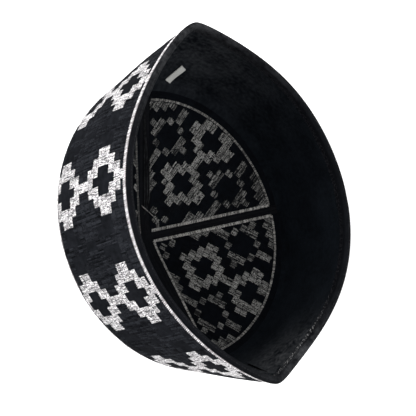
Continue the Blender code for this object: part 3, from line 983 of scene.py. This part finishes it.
def make_cross():
    """Four arms from one middle square, cut from one cloth, with folds along them."""
    half_x = SHORT_ARM / 2
    half_z = LONG_ARM / 2
    end_x = math.sqrt(CROWN_EDGE ** 2 - half_z ** 2)
    end_z = math.sqrt(CROWN_EDGE ** 2 - half_x ** 2)
    mesh = bmesh.new()
    for low_x, low_z, high_x, high_z, parts_x, parts_z in (
            (-half_x, -half_z, half_x, half_z, ARM_ACROSS, ARM_ACROSS),
            (half_x, -half_z, end_x, half_z, ARM_ALONG, ARM_ACROSS),
            (-end_x, -half_z, -half_x, half_z, ARM_ALONG, ARM_ACROSS),
            (-half_x, half_z, half_x, end_z, ARM_ACROSS, ARM_ALONG),
            (-half_x, -end_z, half_x, -half_z, ARM_ACROSS, ARM_ALONG)):
        middle = Matrix.Translation(((low_x + high_x) / 2, (low_z + high_z) / 2, 0))
        size = Matrix.Diagonal((high_x - low_x, high_z - low_z, 1, 1))
        bmesh.ops.create_grid(mesh, x_segments=parts_x, y_segments=parts_z, size=0.5, matrix=middle @ size)
    bmesh.ops.remove_doubles(mesh, verts=mesh.verts, dist=2 * MERGE)
    top = second_face(mesh)
    for vertex in mesh.verts:
        x, z = vertex.co.x, vertex.co.y
        fold = arm_relief(z, half_z) * min(1, max(0, abs(x) - half_x) / FOLD_FADE)
        fold += arm_relief(x, half_x) * 0.6 * min(1, max(0, abs(z) - half_z) / FOLD_FADE)
        vertex.co.z = (PANEL - CHANNEL) / 2 + (CHANNEL if vertex in top else 0) - fold
    return bend_cloth(mesh, lay_on_crown)


def make_fold():
    """The loose fold: a flattened tube from the long arm's middle to its free edge, with painted highlights
    on its pressed ridges.
    """
    mesh = unit_cloth(40, 30)
    top = second_face(mesh)
    painted_light = mesh.verts.layers.float.new("painted_light")
    for vertex in mesh.verts:
        x = FOLD_EDGE[0][0] + (FOLD_EDGE[-1][0] - FOLD_EDGE[0][0]) * vertex.co.x
        edge = float(np.interp(x, *zip(*FOLD_EDGE)))
        across = vertex.co.y
        rounding = math.sqrt(max(0.0, 1 - max(0.0, (across - 0.8) / 0.2) ** 2))
        ridge = sum(math.exp(-((across - place) / 0.045) ** 2) for place in FOLD_RIDGES)
        lift = 0.0001 + (FOLD_THICK * rounding + RIDGE * ridge if vertex in top else 0)
        # Painted highlight along the top of each pressed ridge.
        vertex[painted_light] = ridge
        vertex.co = (x, FOLD_ROOT + (edge - FOLD_ROOT) * across, -lift)
    return bend_cloth(mesh, lay_on_crown)


channel_cloth = make_cloth("channel_cloth", (0.0007, 0.0009, 0.0015), (0.0023, 0.0027, 0.0037), 420, 0.00006,
                           0.75, 0.05, 0.015, painted_lit=True)
cross = finish_piece("crown_channels", make_cross(), channel_cloth, ["crown_cross"])
fold = finish_piece("channel_fold", make_fold(), channel_cloth)

# A loose end of grey thread lies across the middle of the crown inside, doubled back on itself. It is a
# tail of the embroidery that was never cut off, and lies free on the cloth.
LOOSE_THREAD = ((0.0188, 0.002), (0.0156, -0.0024), (0.012, -0.0064), (0.0079, -0.0097), (0.0033, -0.0094))
# Its two strands: how far each is moved aside, and its tone. Then their width, thickness and seat.
STRANDS = ((0.0, 0.5), (0.001, 0.2))
STRAND_SHAPE = (0.0004, 0.0003, 0.0006)
stitches = []
for off, tone in STRANDS:
    for (x, z), (next_x, next_z) in zip(LOOSE_THREAD, LOOSE_THREAD[1:]):
        length = math.hypot(next_x - x, next_z - z)
        turn = math.atan2(next_z - z, next_x - x) - math.pi / 2
        stitches.append(((x + next_x) / 2 + off, (z + next_z) / 2 + off, turn, length + 0.0003,
                         *STRAND_SHAPE, 0.0, tone))
sew("loose_thread", SHORT_THREAD, stitches, lay_on_face("inside"), grey_thread)

# The floor is a plain sheet of pale paper. The cap is lit softly from above, from the front and from
# all round.
mesh = bmesh.new()
bmesh.ops.create_grid(mesh, x_segments=1, y_segments=1, size=3)
data = mesh_data("floor", mesh)
paper, paper_shader = new_material("floor_paper")
fill_in(paper_shader, {"Base Color": (0.5, 0.5, 0.5, 1), "Roughness": 0.9,
                       "Emission Color": (1, 1, 1, 1), "Emission Strength": 0.9})
data.materials.append(paper)
put_in("floor", data)

world = bpy.data.worlds.new("studio")
world.use_nodes = True
fill_in(world.node_tree.nodes["Background"], {"Color": (0.96, 0.98, 1.0, 1), "Strength": 0.4})
bpy.context.scene.world = world
# Softboxes, pointed at the middle of the cap: place, width and power in watts.
AIM = Vector((0, 0, 0.08))
for name, place, width, power in (
        ("main_softbox", (1.0, -0.5, 0.8), 0.8, 18.0), ("overhead_softbox", (-0.1, 0.1, 1.3), 1.0, 16.0),
        ("front_softbox", (-0.6, -1.0, 0.45), 0.8, 11.5)):
    lamp = bpy.data.lights.new(name, "AREA")
    lamp.shape = "SQUARE"
    lamp.size = width
    lamp.energy = power
    light = put_in(name, lamp)
    light.location = place
    light.rotation_euler = (Vector(place) - AIM).to_track_quat("Z", "Y").to_euler()

# The camera looks into the opening from above, rolled so that the cap stands up in the picture.
lens = bpy.data.cameras.new("camera")
lens.lens = 130.07
lens.sensor_width = 36
camera = put_in("camera", lens)
camera.location = (-0.137677, -0.794357, 0.573938)
camera.rotation_euler = (-0.137763, 1.014125, -1.910019)
bpy.context.scene.camera = camera
bpy.context.scene.view_settings.view_transform = "Standard"
